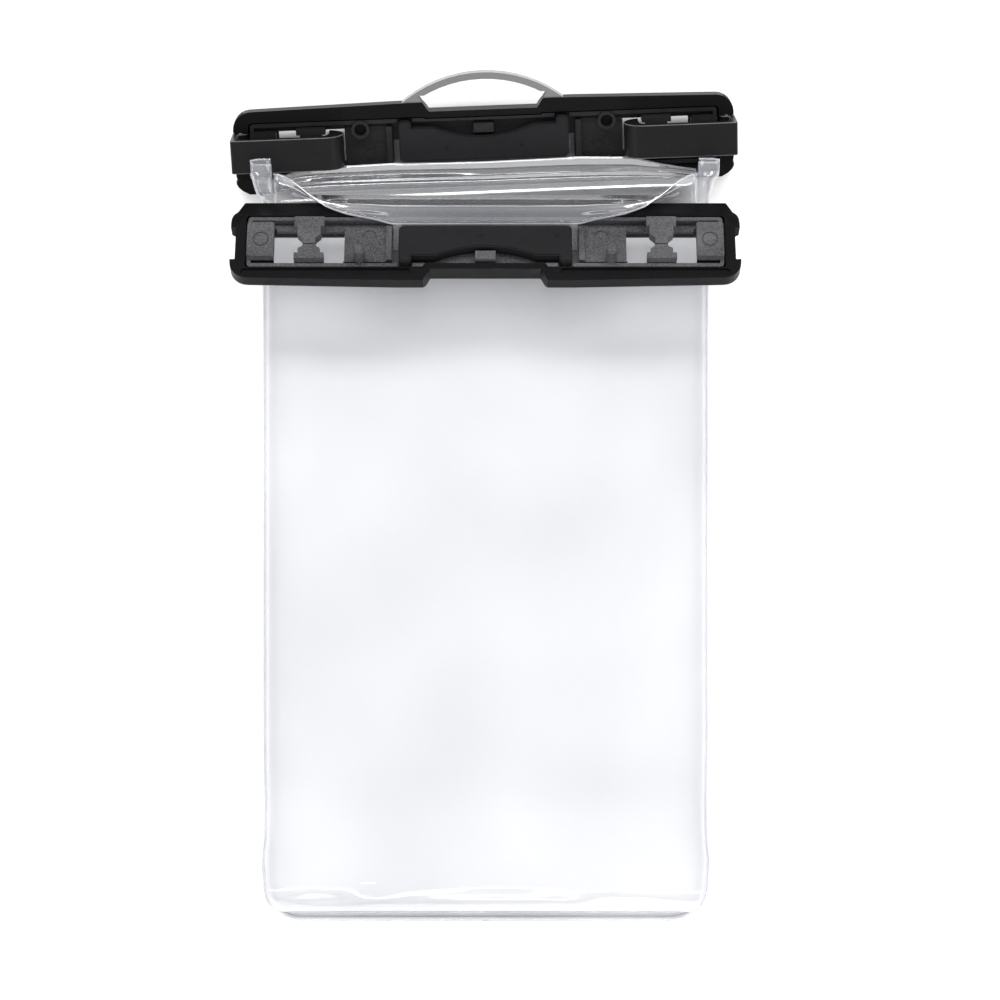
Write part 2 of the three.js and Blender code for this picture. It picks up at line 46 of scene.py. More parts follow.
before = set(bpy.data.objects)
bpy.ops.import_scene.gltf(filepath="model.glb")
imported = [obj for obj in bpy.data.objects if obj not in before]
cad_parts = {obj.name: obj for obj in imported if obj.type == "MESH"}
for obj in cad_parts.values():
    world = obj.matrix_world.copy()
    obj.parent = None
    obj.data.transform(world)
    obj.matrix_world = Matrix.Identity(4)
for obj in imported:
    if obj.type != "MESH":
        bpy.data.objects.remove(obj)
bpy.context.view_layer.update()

MM = 0.001

# The bag, in millimetres, as the solids have it.
BAG_HALF_WIDTH = 54.4
BAG_BOTTOM_Y = -88.7
THROAT_Y = 82.1
CORNER_RADIUS = 9.5
WELD_WIDTH = 2.5
RISE_LENGTH = 9.0
BAG_DEPTH = 12.4
WELD_THICKNESS = 0.8
GUSSET_BULGE = 3.0
SEAM_INSET = 1.3
SEAM_RISE = 0.93
LIP_HALF_WIDTH = 50.4
EAR_U = 50.8
EAR_BULGE = 5.0

# A clamp half: the jaw slopes from its tip to its root at the mouth edge.
BACK_JAW_TIP_V = -1.4
FRONT_JAW_TIP_V = -2.5
JAW_ROOT_V = 2.2
JAW_ROOT_N = -2.2
JAW_SLOPE = 0.46
FILM_OVER_JAW = 0.75
TAB_HALF_WIDTH = 21.8
TAB_N = -3.85
TAB_END_V = 10.8
LOOP_ROOT_V = 20.1

# Where the clamp halves are held.
BACK_EDGE = (0.0, 90.5, 6.9)
BACK_TILT = math.radians(20)
BACK_ROLL = math.radians(2.2)
FRONT_EDGE = (0.0, 84.5, 19.5)
FRONT_TILT = math.radians(25)

# Columns and rows of the film's net.
FRONT_CELLS = 64
GUSSET_CELLS = 12
LIP_STEPS = 28
LIP_ROWS = 12
EAR_STEPS = 5
TAB_CELLS = 16

# Rows near the bottom weld, as distances from the bag's end, then steps up to the throat.
WELD_ROWS = (
    0.0, 0.5, 1.3, 2.1, 2.45, 2.6, 2.9, 3.3, 3.9, 4.6, 5.4, 6.3, 7.3, 8.4, 9.6, 11.0, 12.5,
)
FINE_STEP = 2.0
COARSE_STEP = 5.0
FINE_BELOW_Y = -60

# Folds of the front film near the bottom. Each: place, size and height.
BOTTOM_FOLDS = (
    (-44, -75, 7, 4.5, 1.0),
    (-38, -82, 9, 1.5, -1.3),
    (-28, -79, 6, 2.2, -1.2),
    (-14, -84, 12, 1.6, 0.7),
    (4, -80.5, 16, 1.2, -0.8),
    (20, -83, 7, 1.5, 0.8),
    (28, -79, 5, 3.0, 1.0),
    (35, -83, 8, 1.2, -1.2),
    (46, -74, 5, 3.5, 0.8),
    (-50, -72, 2.5, 2.0, 0.9),
)

# Each free edge: half the clamp's length outwards, and how far up the clamp the film ends there.
BACK_FREE_LEFT = ((0, 5.0), (22, 5.4), (38, 5.1), (44.7, 4.4), (51, 2.9))
BACK_FREE_RIGHT = ((0, 5.0), (22, 5.3), (35.6, 4.7), (43.8, 2.5), (51, 1.1))
FRONT_FREE_EDGE = (
    (0, 5.0), (22, 5.0), (23.4, 4.6), (25.7, 3.8), (33, 2.2), (39.4, -1.2), (53, -1.4),
)

# The front lip's first points past the jaw's edge, as y and z: where it turns over the jaw, and
# near the ears, where it stands up.
TURN_OVER = ((-2.4, 12.4), (0.2, 12.8), (1.5, 13.15), (2.05, 13.9))
STAND_UP = ((-2.4, 12.4), (0.2, 12.8), (1.7, 13.3), (2.8, 14.0), (3.7, 14.7))
STAND_REACH = 3.4
STAND_RISE = 1.7
STAND_FROM_U = 37
STAND_FULL_U = 50

# Waves of the lips: height in millimetres, and turn in radians along the lip.
BACK_WAVE = 0.42
BACK_WAVE_TURN = 8.5
BACK_WAVE_SLANT = 0.012
FRONT_WAVE = 0.4
FRONT_WAVE_TURN = 7.5

# Each station of an ear: the foot's and the top's v and n in the back clamp half.
EAR_STATIONS = {
    -1: (
        ((-0.3, -2.0), (1.1, 8.6)),
        ((3.0, 1.0), (5.6, 8.4)),
        ((4.4, 5.9), (7.0, 8.5)),
        ((6.2, 6.2), (8.4, 8.5)),
        ((8.0, 6.4), (9.8, 8.3)),
    ),
    1: (
        ((-0.3, -2.0), (0.6, 8.8)),
        ((1.2, 1.0), (2.0, 9.4)),
        ((2.2, 5.6), (3.4, 9.6)),
        ((3.6, 6.3), (4.9, 9.7)),
        ((4.8, 7.0), (6.3, 9.6)),
    ),
}

# The weld's bead.
SEAM_STEP = 6.0
CORNER_POINTS = 12
BEAD_STEP = 1.5
BEAD_SIDES = 8

# Gloss of the film: its share on the bag and at the mouth, and what is left of it on the ears.
BAG_GLOSS = 0.03
LIP_GLOSS = 0.46
EAR_GLOSS = 0.15
EDGE_GLOSS = 0.85
MOUTH_FROM_Y = THROAT_Y - 0.5
MOUTH_FULL_Y = THROAT_Y + 3.0
EARS_FROM_X = 44
EARS_FULL_X = 51
FILM_ROUGHNESS = 0.09
# Strength of the film's painted glow: the film gives off light though it is no lamp.
FILM_PAINTED_GLOW = 0.12

# Cleaning and finishing of the meshes, in millimetres and degrees.
NET_MERGE = 0.01
NET_SLIVER = 0.005
SOLID_MERGE = 0.002
FLAT_ANGLE = 0.8
SHARP_ANGLE = 32
PIN_EDGE = 0.1

# The stage.
FLOOR_HALF = 2.0
FLOOR_Z = -0.0002
SKY_HORIZON = 0.25
SKY_FULL_RISE = 0.75
LAMP_AIM = (0.0, 0.04, 0.0)

# The photograph's camera.
VIEW_CENTRE = (3.45, 14.1)
VIEW_WIDTH = 244.0
SENSOR = 36.0

TO_BACK = (
    Matrix.Translation(BACK_EDGE)
    @ Matrix.Rotation(BACK_ROLL, 4, "Z")
    @ Matrix.Rotation(BACK_TILT, 4, "X")
)
TO_FRONT = (
    Matrix.Translation(FRONT_EDGE)
    @ Matrix.Rotation(-FRONT_TILT, 4, "X")
    @ Matrix.Rotation(math.pi, 4, "Z")
)


def on_back(u, v, n):
    return TO_BACK @ Vector((u, v, n))


def on_front(u, v, n):
    return TO_FRONT @ Vector((-u, v, n))


def smooth(low, high, value):
    t = min(max((value - low) / (high - low), 0.0), 1.0)
    return t * t * (3 - 2 * t)


def bump(value, middle, width):
    return math.exp(-(((value - middle) / width) ** 2))


def stops(pairs, value):
    """The height of a line of straight runs at a place."""
    for (a, start), (b, end) in zip(pairs, pairs[1:]):
        if value <= b:
            return start + (end - start) * max(value - a, 0.0) / (b - a)
    return pairs[-1][1]


# Materials


class Nodes:
    """A material's node tree, with short ways to add and join nodes."""

    def __init__(self, name):
        self.material = bpy.data.materials.new(name)
        self.material.use_nodes = True
        self.tree = self.material.node_tree
        self.tree.nodes.clear()
        self.output = self.add("ShaderNodeOutputMaterial")
        self.place = self.add("ShaderNodeTexCoord").outputs["Object"]

    def add(self, kind, **values):
        node = self.tree.nodes.new(kind)
        for name, value in values.items():
            setattr(node, name, value)
        return node

    def join(self, source, socket):
        self.tree.links.new(source, socket)

    def noise(self, scale, detail=3.0, stretch=None):
        node = self.add("ShaderNodeTexNoise")
        node.inputs["Scale"].default_value = scale
        node.inputs["Detail"].default_value = detail
        node.inputs["Roughness"].default_value = 0.55
        place = self.place
        if stretch:
            mapping = self.add("ShaderNodeMapping")
            mapping.inputs["Scale"].default_value = stretch
            self.join(place, mapping.inputs["Vector"])
            place = mapping.outputs["Vector"]
        self.join(place, node.inputs["Vector"])
        return node.outputs["Fac"]

    def ramp(self, source, low, high, at=(0.3, 0.7)):
        node = self.add("ShaderNodeValToRGB")
        node.color_ramp.elements[0].position = at[0]
        node.color_ramp.elements[1].position = at[1]
        node.color_ramp.elements[0].color = (*low, 1)
        node.color_ramp.elements[1].color = (*high, 1)
        self.join(source, node.inputs["Fac"])
        return node.outputs["Color"]

    def spread(self, source, low, high, at=(0.0, 1.0)):
        node = self.add("ShaderNodeMapRange")
        node.inputs["From Min"].default_value = at[0]
        node.inputs["From Max"].default_value = at[1]
        node.inputs["To Min"].default_value = low
        node.inputs["To Max"].default_value = high
        self.join(source, node.inputs["Value"])
        return node.outputs["Result"]

    def relief(self, source, distance):
        node = self.add("ShaderNodeBump")
        node.inputs["Distance"].default_value = distance
        node.inputs["Strength"].default_value = 1.0
        self.join(source, node.inputs["Height"])
        return node.outputs["Normal"]

    def mix(self, share, first, second):
        node = self.add("ShaderNodeMixShader")
        self.join(share, node.inputs["Fac"])
        self.join(first, node.inputs[1])
        self.join(second, node.inputs[2])
        return node.outputs["Shader"]


def black_plastic(name, dark, light, grain_mm, grain_depth, roughness, shine=0.08, grit=0.2):
    """Moulded plastic: a sparked grain, faint flow marks and a roughness that wanders."""
    m = Nodes(name)
    shader = m.add("ShaderNodeBsdfPrincipled")
    shader.inputs["Specular IOR Level"].default_value = shine
    grain = m.noise(1 / (grain_mm * MM), 2.0)
    flow = m.noise(120.0, 3.0, stretch=(0.3, 1.0, 1.0))
    mixed = m.add("ShaderNodeMath", operation="MULTIPLY_ADD")
    mixed.inputs[1].default_value = 0.6
    m.join(grain, mixed.inputs[0])
    m.join(m.spread(flow, 0.0, 0.4), mixed.inputs[2])
    tone = m.ramp(mixed.outputs[0], dark, light, at=(0.5 - grit, 0.5 + grit))
    m.join(tone, shader.inputs["Base Color"])
    m.join(m.spread(flow, roughness - 0.06, roughness + 0.08), shader.inputs["Roughness"])
    m.join(m.relief(grain, grain_depth * MM), shader.inputs["Normal"])
    m.join(shader.outputs["BSDF"], m.output.inputs["Surface"])
    return m.material


def ground_steel(name):
    m = Nodes(name)
    shader = m.add("ShaderNodeBsdfPrincipled")
    shader.inputs["Metallic"].default_value = 1.0
    lines = m.noise(900.0, 2.0, stretch=(1.0, 0.05, 1.0))
    m.join(m.ramp(lines, (0.5, 0.5, 0.51), (0.68, 0.68, 0.69)), shader.inputs["Base Color"])
    m.join(m.spread(lines, 0.22, 0.4), shader.inputs["Roughness"])
    m.join(shader.outputs["BSDF"], m.output.inputs["Surface"])
    return m.material


def edge_on(m):
    """0 where a surface faces the eye, and 1 where it is seen edge on."""
    facing = m.add("ShaderNodeLayerWeight")
    facing.inputs["Blend"].default_value = 0.5
    turned = m.add("ShaderNodeMath", operation="POWER")
    turned.inputs[1].default_value = 2.0
    m.join(facing.outputs["Facing"], turned.inputs[0])
    return turned.outputs[0]


def milk_and_painted_glow(m, low, high):
    """The film's milky part: matt, with a faint painted glow that stands in for the light that runs
    inside it.
    """
    color = m.ramp(m.noise(30.0, 1.0), low, high)
    matt = m.add("ShaderNodeBsdfDiffuse")
    m.join(color, matt.inputs["Color"])
    # Painted glow: the film gives off light though it is no lamp.
    painted_glow = m.add("ShaderNodeEmission")
    painted_glow.inputs["Strength"].default_value = FILM_PAINTED_GLOW
    m.join(color, painted_glow.inputs["Color"])
    matt_and_painted_glow = m.add("ShaderNodeAddShader")
    m.join(matt.outputs["BSDF"], matt_and_painted_glow.inputs[0])
    m.join(painted_glow.outputs["Emission"], matt_and_painted_glow.inputs[1])
    return matt_and_painted_glow.outputs["Shader"]


def gloss_share(m, turned):
    """The film's share of gloss: most at the mouth's lips, less on the ears, least on the bag."""
    along = m.add("ShaderNodeSeparateXYZ")
    m.join(m.place, along.inputs["Vector"])
    mouth = m.spread(
        along.outputs["Y"], BAG_GLOSS, LIP_GLOSS, at=(MOUTH_FROM_Y * MM, MOUTH_FULL_Y * MM)
    )
    aside = m.add("ShaderNodeMath", operation="ABSOLUTE")
    m.join(along.outputs["X"], aside.inputs[0])
    ears = m.spread(aside.outputs[0], 1.0, EAR_GLOSS, at=(EARS_FROM_X * MM, EARS_FULL_X * MM))
    fading = m.add("ShaderNodeMath", operation="MULTIPLY")
    m.join(mouth, fading.inputs[0])
    m.join(ears, fading.inputs[1])
    share = m.add("ShaderNodeMath", operation="MULTIPLY_ADD", use_clamp=True)
    share.inputs[1].default_value = EDGE_GLOSS
    m.join(turned, share.inputs[0])
    m.join(fading.outputs[0], share.inputs[2])
    return share.outputs[0]


def clear_film(name, haze, rim_haze, milk_low, milk_high):
    """Soft clear film: light passes, with a milky haze that grows where it is seen edge on and
    carries a faint painted glow.

    A sheet has a skin on both sides, and only the one that is met from outside hazes and shines.
    """
    m = Nodes(name)
    through = m.add("ShaderNodeBsdfTransparent").outputs["BSDF"]
    turned = edge_on(m)
    body = m.mix(m.spread(turned, haze, rim_haze), through, milk_and_painted_glow(m, milk_low, milk_high))
    gloss = m.add("ShaderNodeBsdfGlossy")
    gloss.inputs["Roughness"].default_value = FILM_ROUGHNESS
    outside = m.mix(gloss_share(m, turned), body, gloss.outputs["BSDF"])
    side = m.add("ShaderNodeNewGeometry").outputs["Backfacing"]
    m.join(m.mix(side, outside, through), m.output.inputs["Surface"])
    return m.material


def pale_floor(name):
    m = Nodes(name)
    shader = m.add("ShaderNodeBsdfPrincipled")
    shader.inputs["Roughness"].default_value = 0.9
    shader.inputs["Specular IOR Level"].default_value = 0.0
    tone = m.ramp(m.noise(8.0), (0.86, 0.86, 0.86), (0.88, 0.88, 0.88))
    m.join(tone, shader.inputs["Base Color"])
    m.join(shader.outputs["BSDF"], m.output.inputs["Surface"])
    return m.material


# Meshes


def new_piece(name, mesh, *materials):
    piece = bpy.data.objects.new(name, mesh)
    bpy.context.scene.collection.objects.link(piece)
    for material in materials:
        mesh.materials.append(material)
    return piece


def merged(mesh):
    """Joins a net's doubles and turns its faces outwards."""
    work = bmesh.new()
    work.from_mesh(mesh)
    bmesh.ops.remove_doubles(work, verts=work.verts, dist=NET_MERGE * MM)
    bmesh.ops.dissolve_degenerate(work, edges=work.edges, dist=NET_SLIVER * MM)
    bmesh.ops.recalc_face_normals(work, faces=work.faces)
    for face in work.faces:
        face.smooth = True
    work.to_mesh(mesh)
    work.free()
    return mesh


def moulding(node, name, material, edge_mm, painted_edge_highlight=None):
    """A CAD solid's copy, merged and with its edges broken as a mould's are.

    The broken edges take a lighter second material, where one is given, which paints a highlight
    along them.
    """
    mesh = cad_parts[node].data.copy()
    mesh.name = name
    mesh.materials.clear()
    work = bmesh.new()
    work.from_mesh(mesh)
    bmesh.ops.remove_doubles(work, verts=work.verts, dist=SOLID_MERGE * MM)
    bmesh.ops.dissolve_limit(
        work, angle_limit=math.radians(FLAT_ANGLE), verts=work.verts, edges=work.edges
    )
    for face in work.faces:
        face.smooth = True
    work.to_mesh(mesh)
    work.free()
    piece = new_piece(name, mesh, material)
    bevel = piece.modifiers.new("broken edges", "BEVEL")
    bevel.width = edge_mm * MM
    bevel.segments = 2
    bevel.limit_method = "ANGLE"
    bevel.angle_limit = math.radians(SHARP_ANGLE)
    bevel.use_clamp_overlap = True
    # Painted highlight: the broken edges get the lighter material.
    if painted_edge_highlight:
        mesh.materials.append(painted_edge_highlight)
        bevel.material = 1
    normals = piece.modifiers.new("flat faces", "WEIGHTED_NORMAL")
    normals.weight = 60
    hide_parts(node)
    return piece


def polish_loop_and_paint_sheen(piece, material):
    """Gives the faces of the lanyard loop a material of their own: glossy, and a grey much lighter
    than the cover, which paints the sheen of the white surroundings on it.
    """
    piece.data.materials.append(material)
    to_clamp = TO_BACK.inverted()
    for face in piece.data.polygons:
        if (to_clamp @ (face.center / MM)).y > LOOP_ROOT_V:
            face.material_index = len(piece.data.materials) - 1


def film_sheet(name, mesh, thickness_mm, film, cut):
    piece = new_piece(name, mesh, film, cut)
    wall = piece.modifiers.new("film thickness", "SOLIDIFY")
    wall.thickness = thickness_mm * MM
    wall.offset = -1.0
    wall.material_offset_rim = 1
    return piece


# The bag's shape, in millimetres


def bag_half(y):
    into = BAG_BOTTOM_Y + CORNER_RADIUS - y
    half = BAG_HALF_WIDTH
    if into > 0:
        half += math.sqrt(max(CORNER_RADIUS**2 - into**2, 0.0)) - CORNER_RADIUS
    return half + 0.5 * bump(y, -73.0, 3.5) - 0.25 * bump(y, -60.0, 9.0)


def bag_height(y):
    """How deep the bag is at a place along it, from the bottom weld up."""
    into = (y - BAG_BOTTOM_Y - WELD_WIDTH) / RISE_LENGTH
    if into <= 0:
        return WELD_THICKNESS
    rise = math.sqrt(1 - (1 - min(into, 1.0)) ** 2)
    return WELD_THICKNESS + (BAG_DEPTH - WELD_THICKNESS) * rise


def front_sag(x, y):
    """Soft folds of the front film between the phone's place and the bag's edges."""
    side = abs(x)
    depth = -0.9 * bump(side, 45.5, 4.5) * smooth(-80, -60, y)
    for fold_x, fold_y, wide, high, amount in BOTTOM_FOLDS:
        depth += amount * bump(x, fold_x, wide) * bump(y, fold_y, high)
    low = smooth(BAG_BOTTOM_Y + WELD_WIDTH, BAG_BOTTOM_Y + WELD_WIDTH + 4, y)
    return depth * low


def ring(y):
    """One section of the bag: front, right wall, back, left wall."""
    half = bag_half(y)
    height = bag_height(y)
    bulge = min(GUSSET_BULGE, 0.75 * height)
    top_x = half - bulge - 1.0
    foot_x = half - bulge
    row = []
    for i in range(FRONT_CELLS + 1):
        x = -top_x + 2 * top_x * i / FRONT_CELLS
        row.append((x, y, height + front_sag(x, y) * min(height / BAG_DEPTH, 1.0)))
    row += wall_profile((top_x, y, row[-1][2]), (foot_x, y, 0.0), bulge, 1)
    for i in range(FRONT_CELLS + 1):
        x = foot_x - 2 * foot_x * i / FRONT_CELLS
        row.append((x, y, 0.0))
    row += wall_profile((-foot_x, y, 0.0), (-top_x, y, row[0][2]), bulge, -1)
    return row


def wall_profile(start, end, bulge, side):
    """The points between the ends of a side wall, bowed out like a soft box."""
    points = []
    for i in range(1, GUSSET_CELLS):
        angle = math.pi * i / GUSSET_CELLS
        out = bulge * math.sin(angle) ** 0.5
        along = math.cos(angle)
        t = 0.5 - 0.5 * math.copysign(abs(along) ** 0.55, along)
        points.append(tuple(
            a + (b - a) * t + (side * out if axis == 0 else 0.0)
            for axis, (a, b) in enumerate(zip(start, end))
        ))
    return points


def bag_rows():
    rows = [BAG_BOTTOM_Y + d for d in WELD_ROWS]
    y = rows[-1]
    while y < THROAT_Y - 3.0:
        y += FINE_STEP if y < FINE_BELOW_Y else COARSE_STEP
        rows.append(min(y, THROAT_Y - 1.0))
    rows.append(THROAT_Y)
    return rows


def lip_height(v):
    return JAW_ROOT_N + FILM_OVER_JAW - max(JAW_ROOT_V - v, 0.0) * JAW_SLOPE


def back_lip(s, q):
    """The back film from the throat, over the jaw's tip, to its free edge."""
    foot_x = BAG_HALF_WIDTH - GUSSET_BULGE
    u = s * (foot_x + (LIP_HALF_WIDTH + 0.6 - foot_x) * min(q * 4, 1.0))
    if q < 0.25:
        t = q * 4
        start = Vector((u, THROAT_Y, 0.0))
        end = on_back(u, BACK_JAW_TIP_V - 0.4, lip_height(BACK_JAW_TIP_V) - 0.7)
        return start.lerp(end, t ** 1.3)
    t = (q - 0.25) / 0.75
    start = BACK_JAW_TIP_V + 0.1
    edge = BACK_FREE_LEFT if s < 0 else BACK_FREE_RIGHT
    v = start + (stops(edge, abs(u)) - start) * t
    turn = math.sin(BACK_WAVE_TURN * t + BACK_WAVE_SLANT * u)
    wave = BACK_WAVE * turn * math.sin(math.pi * min(t * 1.15, 1.0))
    return on_back(u, v, lip_height(v) + wave)


def ear_rows(side):
    """The end of a side wall, which stands up at the mouth as an ear."""
    top_x = BAG_HALF_WIDTH - GUSSET_BULGE - 1.0
    stations = [
        (Vector((side * (top_x + 1), THROAT_Y, 0.0)), Vector((side * top_x, THROAT_Y, BAG_DEPTH)))
    ]
    stations.append((
        on_back(side * (EAR_U + 0.6), BACK_JAW_TIP_V - 0.2, lip_height(BACK_JAW_TIP_V) + 0.3),
        Vector((side * EAR_U, FRONT_EDGE[1] + 1.2, 12.6)),
    ))
    for foot, top in EAR_STATIONS[side]:
        stations.append((on_back(side * EAR_U, *foot), on_back(side * EAR_U, *top)))
    rows = []
    for k, (foot, top) in enumerate(stations[:-1]):
        next_foot, next_top = stations[k + 1]
        for i in range(EAR_STEPS):
            t = i / EAR_STEPS
            rows.append((foot.lerp(next_foot, t), top.lerp(next_top, t)))
    rows.append(stations[-1])
    net_rows = []
    for k, (foot, top) in enumerate(rows):
        bulge = GUSSET_BULGE + (EAR_BULGE - GUSSET_BULGE) * smooth(0.1, 0.5, k / len(rows))
        row = [tuple(top), *wall_profile(tuple(top), tuple(foot), bulge, side), tuple(foot)]
        net_rows.append(row)
    return net_rows


def net(rows, closed):
    """A mesh from rows of points of equal count."""
    wide = len(rows[0])
    points = [tuple(c * MM for c in p) for row in rows for p in row]
    faces = []
    for i in range(len(rows) - 1):
        for j in range(wide if closed else wide - 1):
            k = (j + 1) % wide
            a, b = i * wide, (i + 1) * wide
            faces.append((a + j, a + k, b + k, b + j))
    return points, faces


def bag_mesh():
    rows = [ring(y) for y in bag_rows()]
    rows[0] = [(x, BAG_BOTTOM_Y, WELD_THICKNESS / 2) for x, _, _ in rows[0]]
    points, faces = net(rows, True)
    lip = [
        [tuple(back_lip(1 - 2 * i / FRONT_CELLS, k / LIP_STEPS)) for i in range(FRONT_CELLS + 1)]
        for k in range(LIP_STEPS + 1)
    ]
    lip_points, lip_faces = net(lip, False)
    offset = len(points)
    points += lip_points
    faces += [tuple(k + offset for k in face) for face in lip_faces]
    mesh = bpy.data.meshes.new("bag_film")
    mesh.from_pydata(points, [], faces)
    return merged(mesh)


def ear_mesh(side, name):
    points, faces = net(ear_rows(side), False)
    mesh = bpy.data.meshes.new(name)
    mesh.from_pydata(points, [], faces)
    return merged(mesh)


def lip_path(u):
    """The front film from the throat over the front jaw, or standing up near the ears."""
    edge = FRONT_EDGE[1]
    v_end = stops(FRONT_FREE_EDGE, abs(u))
    curl = [Vector((u, edge + y, z)) for y, z in TURN_OVER]
    start = FRONT_JAW_TIP_V + 0.3
    for k in range(LIP_ROWS + 1):
        t = k / LIP_ROWS
        v = start + (v_end - start) * t
        wave = FRONT_WAVE * math.sin(FRONT_WAVE_TURN * t) * math.sin(math.pi * t)
        curl.append(on_front(u, v, lip_height(v) + wave))
    stand = list(STAND_UP)
    last_y, last_z = STAND_UP[-1]
    for k in range(LIP_ROWS):
        t = (k + 1) / LIP_ROWS
        rise = STAND_RISE * math.sin(0.5 * math.pi * t)
        stand.append((last_y + STAND_REACH * t, last_z + rise))
    stand = [Vector((u, edge + y, z)) for y, z in stand]
    share = smooth(STAND_FROM_U, STAND_FULL_U, abs(u))
    return [a.lerp(b, share) for a, b in zip(curl, stand)]


def lip_rows():
    columns = [LIP_HALF_WIDTH * (2 * i / FRONT_CELLS - 1) for i in range(FRONT_CELLS + 1)]
    paths = [lip_path(u) for u in columns]
    return [[tuple(path[k]) for path in paths] for k in range(len(paths[0]))]


def lip_mesh():
    points, faces = net(lip_rows(), False)
    mesh = bpy.data.meshes.new("mouth_lip")
    mesh.from_pydata(points, [], faces)
    return merged(mesh)


def seam_path():
    """The weld's line: down a side wall's shoulder, round the bottom and up the other side."""
    down = []
    y = THROAT_Y
    while y > BAG_BOTTOM_Y + CORNER_RADIUS:
        down.append((bag_half(y) - SEAM_INSET, y, SEAM_RISE * bag_height(y)))
        y -= SEAM_STEP
    for i in range(CORNER_POINTS):
        angle = math.radians(90 * i / (CORNER_POINTS - 1))
        radius = CORNER_RADIUS - SEAM_INSET
        y = BAG_BOTTOM_Y + CORNER_RADIUS - radius * math.sin(angle)
        x = BAG_HALF_WIDTH - CORNER_RADIUS + radius * math.cos(angle)
        height = max(SEAM_RISE * bag_height(y), WELD_THICKNESS)
        down.append((x, y, height))
    return [(-x, y, z) for x, y, z in down] + down[::-1]


def line_mesh(name, path):
    points = [tuple(c * MM for c in p) for p in path]
    mesh = bpy.data.meshes.new(name)
    mesh.from_pydata(points, [(i, i + 1) for i in range(len(points) - 1)], [])
    return mesh


def bead_nodes():
    """A node group that runs a thin bead along a line of edges."""
    group = bpy.data.node_groups.new("weld_bead", "GeometryNodeTree")
    sockets = group.interface
    sockets.new_socket("Geometry", in_out="INPUT", socket_type="NodeSocketGeometry")
    radius = sockets.new_socket("Bead radius", in_out="INPUT", socket_type="NodeSocketFloat")
    step = sockets.new_socket("Step", in_out="INPUT", socket_type="NodeSocketFloat")
    film = sockets.new_socket("Film", in_out="INPUT", socket_type="NodeSocketMaterial")
    sockets.new_socket("Geometry", in_out="OUTPUT", socket_type="NodeSocketGeometry")
    nodes, links = group.nodes, group.links
    start = nodes.new("NodeGroupInput")
    curve = nodes.new("GeometryNodeMeshToCurve")
    even = nodes.new("GeometryNodeResampleCurve")
    even.mode = "LENGTH"
    section = nodes.new("GeometryNodeCurvePrimitiveCircle")
    section.inputs["Resolution"].default_value = BEAD_SIDES
    bead = nodes.new("GeometryNodeCurveToMesh")
    bead.inputs["Fill Caps"].default_value = True
    whole = nodes.new("GeometryNodeRealizeInstances")
    paint = nodes.new("GeometryNodeSetMaterial")
    end = nodes.new("NodeGroupOutput")
    links.new(start.outputs["Geometry"], curve.inputs["Mesh"])
    links.new(curve.outputs["Curve"], even.inputs["Curve"])
    links.new(start.outputs["Step"], even.inputs["Length"])
    links.new(start.outputs["Bead radius"], section.inputs["Radius"])
    links.new(even.outputs["Curve"], bead.inputs["Curve"])
    links.new(section.outputs["Curve"], bead.inputs["Profile Curve"])
    links.new(bead.outputs["Mesh"], whole.inputs["Geometry"])
    links.new(whole.outputs["Geometry"], paint.inputs["Geometry"])
    links.new(start.outputs["Film"], paint.inputs["Material"])
    links.new(paint.outputs["Geometry"], end.inputs["Geometry"])
    return group, (radius.identifier, step.identifier, film.identifier)


def baked(piece):
    """Turns a piece's modifiers into plain mesh."""
    graph = bpy.context.evaluated_depsgraph_get()
    mesh = bpy.data.meshes.new_from_object(piece.evaluated_get(graph), depsgraph=graph)
    piece.modifiers.clear()
    piece.data = mesh
    for face in mesh.polygons:
        face.use_smooth = True
    return piece


def tab_mesh(name, place):
    """The tab that passes from a lip down into the slit and under a film bar."""
    path = (
        (4.6, lip_height(4.6) - 0.05), (5.1, -2.4), (5.5, -3.4), (6.4, TAB_N), (TAB_END_V, TAB_N),
    )
    columns = [TAB_HALF_WIDTH * (2 * i / TAB_CELLS - 1) for i in range(TAB_CELLS + 1)]
    rows = [[tuple(place(u, v, n)) for u in columns] for v, n in path]
    points, faces = net(rows, False)
    mesh = bpy.data.meshes.new(name)
    mesh.from_pydata(points, [], faces)
    return merged(mesh)


def film_materials(settings):
    film = clear_film(
        "clear_film", settings.haze, settings.rim_haze, (0.42, 0.43, 0.48), (0.58, 0.59, 0.64)
    )
    cut = clear_film("film_cut_edge", 0.45, 0.75, (0.3, 0.31, 0.35), (0.42, 0.43, 0.47))
    return film, cut


# Settings


class PouchFilm(bpy.types.PropertyGroup):
    thickness: bpy.props.FloatProperty(
        name="Film thickness", description="Thickness of the bag's film, in millimetres",
        default=0.35, min=0.1, max=0.6,
    )
    bead: bpy.props.FloatProperty(
        name="Weld bead", description="Radius of the weld's bead, in millimetres",
        default=0.22, min=0.05, max=0.5,
    )
    edge_bead: bpy.props.FloatProperty(
        name="Cut edge", description="Radius of the free edges, in millimetres",
        default=0.22, min=0.05, max=0.6,
    )
    haze: bpy.props.FloatProperty(
        name="Haze", description="Share of milky haze where the film faces the eye",
        default=0.15, min=0.0, max=1.0, subtype="FACTOR",
    )
    rim_haze: bpy.props.FloatProperty(
        name="Haze at the rims", description="Share of milky haze where the film is seen edge on",
        default=0.9, min=0.0, max=1.0, subtype="FACTOR",
    )


class PouchClamp(bpy.types.PropertyGroup):
    edge: bpy.props.FloatProperty(
        name="Broken edge", description="Width of the broken edges, in millimetres",
        default=0.22, min=0.02, max=0.6,
    )
    cover_color: bpy.props.FloatVectorProperty(
        name="Cover", description="Colour of the outer covers", subtype="COLOR",
        size=3, default=(0.0025, 0.0025, 0.0028), min=0, max=1,
    )
    frame_color: bpy.props.FloatVectorProperty(
        name="Frame", description="Colour of the inner frames", subtype="COLOR",
        size=3, default=(0.014, 0.014, 0.015), min=0, max=1,
    )
    latch_color: bpy.props.FloatVectorProperty(
        name="Latch", description="Colour of the latches and bars", subtype="COLOR",
        size=3, default=(0.0045, 0.0045, 0.005), min=0, max=1,
    )


